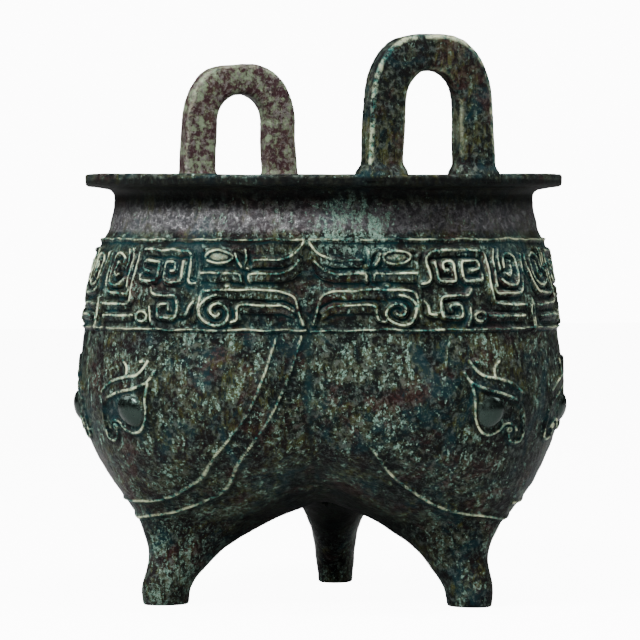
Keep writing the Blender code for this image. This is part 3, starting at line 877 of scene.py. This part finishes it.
# %% [markdown]
# ## Handles
# Two upright loops stand on the lip, for a pole or a pair of hooks.  Each is a flat bar
# bent to a squarish arch.  Its surface has two parameters: u goes along the arch and v
# round the bar's section, a rectangle with rounded corners.  The feet spread a little
# into the lip, where the founder thickened the joint.  The casting is rough here, since
# nobody chased it smooth.

# %% Handles
ARCH_STEPS, LEG_STEPS, ROUND_STEPS = 96, 22, 72
FOOT_SPREAD = 1.5 * MM
HANDLE_SINK = 2.5 * MM


def arch_line(half_width, height, squareness):
    """x and z of an inverted U: straight legs, then |x/w|^s + |z/r|^s = 1 over them."""
    rise = min(height * 0.62, half_width * 1.15)
    angle = np.linspace(math.pi, 0.0, ARCH_STEPS + 1)
    power = 2 / squareness
    x = half_width * np.sign(np.cos(angle)) * np.abs(np.cos(angle)) ** power
    z = height - rise + rise * np.abs(np.sin(angle)) ** power
    x = x * (1 + HANDLE_SPLAY * (1 - z / height))
    low = np.linspace(-HANDLE_SINK, z[0], LEG_STEPS + 1)[:-1]
    share = (low - z[0]) / (-z[0])
    side = half_width * (1 + HANDLE_SPLAY) * share + x[-1] * (1 - share)
    x = np.concatenate([-side, x, side[::-1]])
    z = np.concatenate([low, z, low[::-1]])
    return np.stack([x, z], 1)


def make_handle(name, azimuth, height, width, bar):
    """The loop as a grid: each section joins a point of the outer line to the inner's."""
    outer = arch_line(width / 2, height, OUTER_SQUARENESS)
    inner = arch_line(width / 2 - bar, height - bar, INNER_SQUARENESS)
    middle, half = (outer + inner) / 2, (outer - inner) / 2
    across = np.linalg.norm(half, axis=1)
    v = np.linspace(0, 2 * math.pi, ROUND_STEPS + 1)[:-1]
    power = 2 / 5.0
    a = np.sign(np.cos(v)) * np.abs(np.cos(v)) ** power
    b = np.sign(np.sin(v)) * np.abs(np.sin(v)) ** power
    spread = FOOT_SPREAD * (1 - step_up(middle[:, 1], 0.0, 4.0 * MM))
    grow = (1 + spread / across)[:, None]
    x = middle[:, :1] + half[:, :1] * grow * a
    z = middle[:, 1:] + half[:, 1:] * grow * a
    depth = (HANDLE_DEPTH / 2 + spread)[:, None] * b
    turn = math.radians(azimuth)
    points = np.stack(
        [
            (HANDLE_RADIUS + depth) * math.cos(turn) - x * math.sin(turn),
            (HANDLE_RADIUS + depth) * math.sin(turn) + x * math.cos(turn) + AXIS_Y,
            LIP_TOP + z,
        ],
        -1,
    )
    out = points - points.mean(axis=1, keepdims=True)
    out /= np.linalg.norm(out, axis=2, keepdims=True)
    rough = 0.20 * waves(points, 24 * MM, 91) + 0.10 * waves(points, 7 * MM, 92)
    rough += 0.05 * waves(points, 2.4 * MM, 93)
    ends = step_up(middle[:, 1], 1.0 * MM, 5.0 * MM)[:, None]
    points = points + out * (rough * MM * ends)[..., None]
    count = len(points)
    index = np.arange(count * ROUND_STEPS).reshape(count, ROUND_STEPS)
    wrapped = np.concatenate([index, index[:, :1]], axis=1)
    faces = quads(wrapped)[:, ::-1].tolist() + [index[0].tolist(), index[-1][::-1].tolist()]
    edge = (np.clip((np.abs(a * b) - 0.58) / 0.17, 0, 1) * np.where(a > 0, 0.6, 0.4))[None, :] * ends
    values = {"ridge": edge, "painted_shade": np.zeros(edge.shape), "eye": np.zeros(edge.shape)}
    return link_mesh("handle_" + name, points.reshape(-1, 3), faces, values)


handles = [make_handle(*measures) for measures in HANDLES]
print("handles:", [len(h.data.polygons) for h in handles], "faces")

# %% [markdown]
# ## Patina
# The bronze itself shows nowhere.  A dark, dense layer covers it, and over that lie thin
# crusts: mint malachite in fine speckles, blue-green azurite in the hollows, cuprite in
# rusty patches, and ochre earth.  Handling has rubbed the raised lines pale.  Each layer
# is a noise of its own size, cut to a mask and mixed over the one below.  The group puts
# out plain values, so that each material can set its own tint and gloss.


# %% Node helpers
class Tree:
    """A node tree with short ways to add and join nodes."""

    def __init__(self, tree):
        self.tree = tree

    def node(self, kind, inputs=None, **settings):
        made = self.tree.nodes.new(kind)
        for key, value in settings.items():
            setattr(made, key, value)
        for key, value in (inputs or {}).items():
            socket = made.inputs[key]
            if isinstance(value, bpy.types.NodeSocket):
                self.tree.links.new(value, socket)
            else:
                socket.default_value = value
        return made

    def math(self, operation, a, b=0.0, clamp=False):
        return self.node("ShaderNodeMath", {0: a, 1: b}, operation=operation, use_clamp=clamp).outputs[0]

    def noise(self, place, scale, detail=3.0, roughness=0.6, warp=0.0):
        values = {"Vector": place, "Scale": scale, "Detail": detail}
        values.update({"Roughness": roughness, "Distortion": warp})
        return self.node("ShaderNodeTexNoise", values).outputs[0]

    def mask(self, value, low, high):
        """0 below low, 1 above high."""
        made = self.node("ShaderNodeMapRange", {0: value, 1: low, 2: high}, interpolation_type="SMOOTHSTEP")
        return made.outputs[0]

    def mix(self, share, below, above):
        made = self.node("ShaderNodeMix", {0: share, 6: below, 7: above}, data_type="RGBA")
        return made.outputs[2]


def group_with(name, ins, outs):
    """A shader node group with the given float or colour inputs and outputs."""
    group = bpy.data.node_groups.new(name, "ShaderNodeTree")
    for label, kind, value in ins:
        socket = group.interface.new_socket(name=label, in_out="INPUT", socket_type=kind)
        socket.default_value = value
    for label, kind in outs:
        group.interface.new_socket(name=label, in_out="OUTPUT", socket_type=kind)
    tree = Tree(group)
    return group, tree, tree.node("NodeGroupInput"), tree.node("NodeGroupOutput")


FLOAT, COLOUR = "NodeSocketFloat", "NodeSocketColor"


# %% Patina group
def colour(r, g, b):
    return (r, g, b, 1.0)


STAIN_AT = (76.5, -22.5, 139.0)  # mm, a thicker crust on the neck above one cleft


def make_patina():
    """Colour, roughness, metal and bump height of buried bronze, with painted shade, shadow and neck sheen,
    on Object coordinates in mm.
    """
    ins = [
        ("Ridge", FLOAT, 0.0),
        ("Painted shade", FLOAT, 0.0),
        ("Eye", FLOAT, 0.0),
        ("Mint", FLOAT, 1.0),
        ("Warm", FLOAT, 0.0),
    ]
    outs = [("Color", COLOUR), ("Roughness", FLOAT), ("Metal", FLOAT), ("Height", FLOAT)]
    group, t, given, out = group_with("Patina", ins, outs)
    place = t.node("ShaderNodeTexCoord").outputs["Object"]
    mm = t.node("ShaderNodeMapping", {"Vector": place, "Scale": (1000, 1000, 1000)}).outputs[0]
    x, y, z = t.node("ShaderNodeSeparateXYZ", {0: mm}).outputs
    drawn = t.node("ShaderNodeMapping", {"Vector": place, "Scale": (1000, 1000, 330)}).outputs[0]

    def elsewhere(x, y, z):
        """The same space moved, so that two noises of one size don't fall together."""
        return t.node("ShaderNodeMapping", {"Vector": mm, "Location": (x, y, z)}).outputs[0]

    broad = t.noise(mm, 0.032, 4, 0.6, 0.6)
    patch = t.noise(mm, 0.10, 5, 0.66, 0.8)
    mottle = t.noise(mm, 0.50, 7, 0.74, 0.4)
    speck = t.noise(elsewhere(31, 7, 15), 0.85, 4, 0.72, 0.3)
    grain = t.noise(mm, 2.6, 3, 0.7)
    streak = t.noise(drawn, 0.5, 5, 0.7, 0.5)
    earth = t.noise(elsewhere(5, 29, 77), 0.05, 5, 0.7, 1.0)
    rust = t.noise(elsewhere(61, 17, 5), 0.045, 5, 0.72, 0.8)
    blue = t.noise(elsewhere(9, 83, 41), 0.05, 5, 0.7, 1.2)

    # The dark layer, and the grey-green film over about half of it.
    film = t.mask(t.math("ADD", t.math("MULTIPLY", mottle, 0.7), t.math("MULTIPLY", patch, 0.3)), 0.47, 0.56)
    dark = t.mix(t.mask(broad, 0.42, 0.6), colour(0.0016, 0.0026, 0.0026), colour(0.0045, 0.0028, 0.0032))
    light = t.mix(t.mask(patch, 0.4, 0.6), colour(0.008, 0.025, 0.021), colour(0.027, 0.032, 0.016))
    tone = t.mix(film, dark, light)
    tone = t.mix(t.math("MULTIPLY", t.mask(blue, 0.51, 0.63), 0.5), tone, colour(0.002, 0.024, 0.030))
    rusty = t.math("MULTIPLY", t.mask(rust, 0.53, 0.64), t.mask(mottle, 0.38, 0.56))
    rusty = t.math("MULTIPLY", rusty, t.math("ADD", given.outputs["Warm"], 0.75), clamp=True)
    tone = t.mix(rusty, tone, colour(0.028, 0.008, 0.007))
    sandy = t.math("MULTIPLY", t.mask(earth, 0.50, 0.62), t.mask(streak, 0.46, 0.6))
    tone = t.mix(t.math("MULTIPLY", sandy, 0.55), tone, colour(0.064, 0.068, 0.018))

    # Mint crusts: where fine and drawn-out noise agree, denser in some regions.
    mixed = t.math("ADD", t.math("MULTIPLY", speck, 0.55), t.math("MULTIPLY", streak, 0.45))
    one_leg = t.math("MULTIPLY", t.mask(z, 40.0, 24.0), t.mask(y, -20.0, -50.0))
    neck = t.mask(z, 136.0, 138.0)
    dense = t.math("SUBTRACT", t.math("MULTIPLY", one_leg, 0.03), t.math("MULTIPLY", neck, 0.03))
    away = t.node("ShaderNodeVectorMath", {0: mm, 1: STAIN_AT}, operation="DISTANCE").outputs["Value"]
    stain = t.math("MULTIPLY", t.mask(away, 22.0, 6.0), 0.09)
    dense = t.math("ADD", dense, stain)
    dense = t.math("ADD", t.math("MULTIPLY", t.mask(patch, 0.36, 0.68), 0.085), dense)
    minty = t.mask(t.math("ADD", mixed, dense), 0.585, 0.64)
    scarce = t.math("ADD", t.math("MULTIPLY", t.mask(z, 30.0, 55.0), 0.3), 0.7)
    minty = t.math("MULTIPLY", t.math("MULTIPLY", minty, scarce), given.outputs["Mint"], clamp=True)
    pale = t.mix(t.mask(grain, 0.4, 0.62), colour(0.036, 0.118, 0.092), colour(0.32, 0.46, 0.37))
    tone = t.mix(t.math("MULTIPLY", minty, 0.8), tone, pale)

    # Painted shade, near black and blue-green in places, lies beside and right below the raised lines;
    # handling has rubbed their crests.
    shade_colour = t.mix(t.mask(blue, 0.44, 0.56), colour(0.0015, 0.003, 0.003), colour(0.001, 0.016, 0.018))
    tone = t.mix(t.math("MULTIPLY", given.outputs["Painted shade"], 0.9, clamp=True), tone, shade_colour)
    worn = t.mask(t.math("ADD", t.math("MULTIPLY", patch, 0.45), t.math("MULTIPLY", speck, 0.55)), 0.42, 0.54)
    crest = t.math("MULTIPLY", t.mask(given.outputs["Ridge"], 0.25, 0.9), worn)
    creamy = t.mask(t.math("ADD", mottle, patch), 0.88, 1.12)
    rubbed = t.mix(creamy, colour(0.045, 0.220, 0.185), colour(0.76, 0.82, 0.52))
    tone = t.mix(t.math("MULTIPLY", crest, 0.85), tone, rubbed)
    tone = t.mix(t.math("MULTIPLY", given.outputs["Eye"], 0.9), tone, colour(0.004, 0.010, 0.008))
    blotch = t.noise(elsewhere(3, 51, 23), 0.20, 6, 0.72)
    brown = t.mix(t.mask(blotch, 0.47, 0.60), colour(0.036, 0.015, 0.018), colour(0.17, 0.22, 0.135))
    brown = t.mix(t.mask(mottle, 0.50, 0.60), brown, colour(0.15, 0.12, 0.115))
    tone = t.mix(given.outputs["Warm"], tone, brown)

    # The lower neck gets a painted grey-mauve sheen and is glossier; painted shadow lies under the lip,
    # painted shade between the legs.
    painted_neck_sheen = t.math("MULTIPLY", t.mask(z, 136.5, 139.5), t.mask(z, 150.0, 144.0))
    painted_neck_sheen = t.math("MULTIPLY", painted_neck_sheen, t.math("SUBTRACT", 1.0, minty))
    painted_neck_sheen = t.math("MULTIPLY", painted_neck_sheen, t.math("ADD", t.math("MULTIPLY", t.mask(mottle, 0.46, 0.58), 0.75), 0.2))
    tone = t.mix(painted_neck_sheen, tone, colour(0.140, 0.135, 0.145))
    # Painted shadow from the lip over the top of the neck and the lip's underside, and painted shade under
    # the belly between the legs.
    lip_shadow = t.math("MULTIPLY", t.mask(z, 145.0, 151.0), t.mask(z, 157.6, 156.4))
    squared = t.math("ADD", t.math("MULTIPLY", x, x), t.math("MULTIPLY", y, y))
    between = t.math("MULTIPLY", t.mask(squared, 2900.0, 1300.0), t.mask(z, 54.0, 36.0))
    painted_shadow = t.math("MULTIPLY", t.math("MAXIMUM", lip_shadow, between), 0.85)
    tone = t.mix(painted_shadow, tone, colour(0.0015, 0.0018, 0.0018))

    rough = t.math("ADD", t.math("MULTIPLY", minty, 0.25), t.math("MULTIPLY", mottle, 0.35))
    rough = t.math("ADD", rough, 0.16)
    rough = t.math("SUBTRACT", rough, t.math("MULTIPLY", painted_neck_sheen, 0.12))
    rough = t.math("ADD", rough, t.math("MULTIPLY", painted_shadow, 0.3))
    rough = t.math("SUBTRACT", rough, t.math("MULTIPLY", given.outputs["Eye"], 0.16), clamp=True)
    glint = t.mask(mottle, 0.50, 0.64)
    sheen_and_rubbed = t.math("MULTIPLY", t.math("ADD", painted_neck_sheen, crest), 0.25)
    metal = t.math("ADD", t.math("MULTIPLY", glint, 0.45), sheen_and_rubbed)
    dull = t.math("SUBTRACT", 1.0, t.math("MAXIMUM", painted_shadow, given.outputs["Painted shade"], clamp=True), clamp=True)
    metal = t.math("MULTIPLY", t.math("ADD", metal, 0.14), dull)
    metal = t.math("ADD", metal, t.math("MULTIPLY", given.outputs["Eye"], 0.7), clamp=True)
    shown = t.math("MULTIPLY", t.math("MULTIPLY", glint, dull), 0.5)
    tone = t.mix(shown, tone, colour(0.090, 0.098, 0.090))
    tone = t.mix(t.math("MULTIPLY", given.outputs["Eye"], 0.9), tone, colour(0.030, 0.044, 0.038))
    pit = t.node("ShaderNodeTexVoronoi", {"Vector": mm, "Scale": 0.42, "Randomness": 1.0}).outputs["Distance"]
    pitted = t.math("MULTIPLY", t.mask(pit, 0.0, 0.32), t.mask(broad, 0.3, 0.6))
    height = t.math("ADD", t.math("MULTIPLY", mottle, 1.3), t.math("MULTIPLY", grain, 0.25))
    height = t.math("ADD", height, t.math("MULTIPLY", pitted, 0.35))
    height = t.math("ADD", height, t.math("MULTIPLY", speck, 0.6))
    smooth = t.math("SUBTRACT", 1.0, t.math("MULTIPLY", given.outputs["Eye"], 0.85))
    height = t.math("MULTIPLY", height, smooth)

    t.tree.links.new(tone, out.inputs["Color"])
    t.tree.links.new(rough, out.inputs["Roughness"])
    t.tree.links.new(metal, out.inputs["Metal"])
    t.tree.links.new(height, out.inputs["Height"])
    return group


PATINA = make_patina()

# %% [markdown]
# ## Materials
# All the pieces are the same bronze, so they share the patina group.  The vessel is dark
# green and black.  The far handle lay differently in the ground and came out browner, so
# it has its own mixture.  The patina also says how metallic a point is: most where the
# metal is rubbed or glints and on the neck's painted sheen, and least under painted shade and shadow.


# %% Materials
def make_bronze(name, mint, warm, bump):
    """A Principled shader fed by the patina group."""
    material = bpy.data.materials.new(name)
    material.use_nodes = True
    t = Tree(material.node_tree)
    shader = material.node_tree.nodes["Principled BSDF"]
    values = {"Mint": mint, "Warm": warm}
    for label, key in (("Ridge", "ridge"), ("Painted shade", "painted_shade"), ("Eye", "eye")):
        values[label] = t.node("ShaderNodeAttribute", attribute_name=key).outputs["Fac"]
    patina = t.node("ShaderNodeGroup", node_tree=PATINA)
    for label, value in values.items():
        if isinstance(value, bpy.types.NodeSocket):
            t.tree.links.new(value, patina.inputs[label])
        else:
            patina.inputs[label].default_value = value
    bumps = {"Height": patina.outputs["Height"], "Distance": 0.5 * MM, "Strength": bump}
    relief = t.node("ShaderNodeBump", bumps)
    t.tree.links.new(patina.outputs["Color"], shader.inputs["Base Color"])
    t.tree.links.new(patina.outputs["Roughness"], shader.inputs["Roughness"])
    t.tree.links.new(relief.outputs["Normal"], shader.inputs["Normal"])
    t.tree.links.new(patina.outputs["Metal"], shader.inputs["Metallic"])
    shader.inputs["Specular IOR Level"].default_value = 0.06
    return material


BODY_BRONZE = make_bronze("bronze_vessel", 1.0, 0.0, 0.85)
RIGHT_BRONZE = make_bronze("bronze_right_handle", 0.6, 0.0, 0.9)
LEFT_BRONZE = make_bronze("bronze_left_handle", 1.1, 0.75, 1.0)

for piece in [core] + frieze_panels + belly_panels:
    piece.data.materials.append(BODY_BRONZE)
for piece, material in zip(handles, (RIGHT_BRONZE, LEFT_BRONZE)):
    piece.data.materials.append(material)

# %% [markdown]
# ## Onto the frame
# Every piece rides on the one body and stands for the one cast node.

# %% Onto the frame
for piece in [core] + frieze_panels + belly_panels + handles:
    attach(piece, "root")
    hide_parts("ding_vessel")

# %% [markdown]
# ## Floor, light and camera
# A plain pale floor, a soft key light from above on the left, a broad light overhead, a weak
# fill from the front and one light at each side show the relief softly.  The camera
# stands level, a little below the height of the lip.

# %% Stage
CAMERA_AZIMUTH = math.radians(-25.87)
CAMERA_DISTANCE = 1.42
CAMERA_HEIGHT = 0.135
TOWARDS = np.array([math.cos(CAMERA_AZIMUTH), math.sin(CAMERA_AZIMUTH), 0.0])
RIGHTWARDS = np.array([-math.sin(CAMERA_AZIMUTH), math.cos(CAMERA_AZIMUTH), 0.0])

FLOOR_GLOW = 11.0  # keeps the floor pale up to the horizon, as a lit studio sweep is

bpy.ops.mesh.primitive_plane_add(size=8.0, location=(0, 0, -0.0001))
floor = bpy.context.active_object
floor.name = "floor"
floor_material = bpy.data.materials.new("pale_floor")
floor_material.use_nodes = True
floor_shader = floor_material.node_tree.nodes["Principled BSDF"]
floor_shader.inputs["Base Color"].default_value = colour(0.40, 0.40, 0.40)
floor_shader.inputs["Roughness"].default_value = 0.9
floor_shader.inputs["Emission Color"].default_value = colour(1, 1, 1)
floor_tree = Tree(floor_material.node_tree)
seen = floor_tree.node("ShaderNodeLightPath").outputs["Is Camera Ray"]
glow = floor_tree.math("MULTIPLY", seen, FLOOR_GLOW)
floor_material.node_tree.links.new(glow, floor_shader.inputs["Emission Strength"])
floor.data.materials.append(floor_material)


def soft_light(name, front, right, up, size, power):
    """A square area light placed as the camera sees it, aimed at the vessel."""
    data = bpy.data.lights.new(name, "AREA")
    data.size = size
    data.energy = power
    light = bpy.data.objects.new(name, data)
    bpy.context.scene.collection.objects.link(light)
    place = TOWARDS * front + RIGHTWARDS * right + np.array([0, 0, up])
    light.location = place
    aim = np.array([0, 0, 0.09]) - place
    yaw = math.atan2(aim[1], aim[0])
    pitch = math.atan2(math.hypot(aim[0], aim[1]), -aim[2])
    light.rotation_euler = (pitch, 0, yaw - math.pi / 2)


soft_light("key", 0.80, -0.60, 1.00, 0.30, 40.0)
soft_light("top", 0.25, 0.25, 1.25, 0.45, 26.0)
soft_light("fill", 1.2, 0.6, 0.50, 0.6, 2.0)
soft_light("side_left", -0.1, -1.0, 0.80, 0.4, 8.0)
soft_light("side_right", -0.3, 1.0, 0.80, 0.4, 6.0)

world = bpy.data.worlds.new("studio")
world.use_nodes = True
bpy.context.scene.world = world
sky = Tree(world.node_tree)
background = world.node_tree.nodes["Background"]
is_camera = sky.node("ShaderNodeLightPath").outputs["Is Camera Ray"]
level = sky.math("ADD", sky.math("MULTIPLY", is_camera, 12.0), 0.02)
world.node_tree.links.new(level, background.inputs["Strength"])
background.inputs["Color"].default_value = colour(1, 1, 1)

camera_data = bpy.data.cameras.new("camera")
camera = bpy.data.objects.new("camera", camera_data)
bpy.context.scene.collection.objects.link(camera)
camera.location = TOWARDS * CAMERA_DISTANCE + np.array([0, AXIS_Y, CAMERA_HEIGHT])
camera.rotation_euler = (math.radians(90), 0, CAMERA_AZIMUTH + math.radians(90))
camera_data.lens = 211.5
camera_data.shift_x = -0.0055
camera_data.shift_y = -0.126
camera_data.clip_start, camera_data.clip_end = 0.05, 30.0
bpy.context.scene.camera = camera
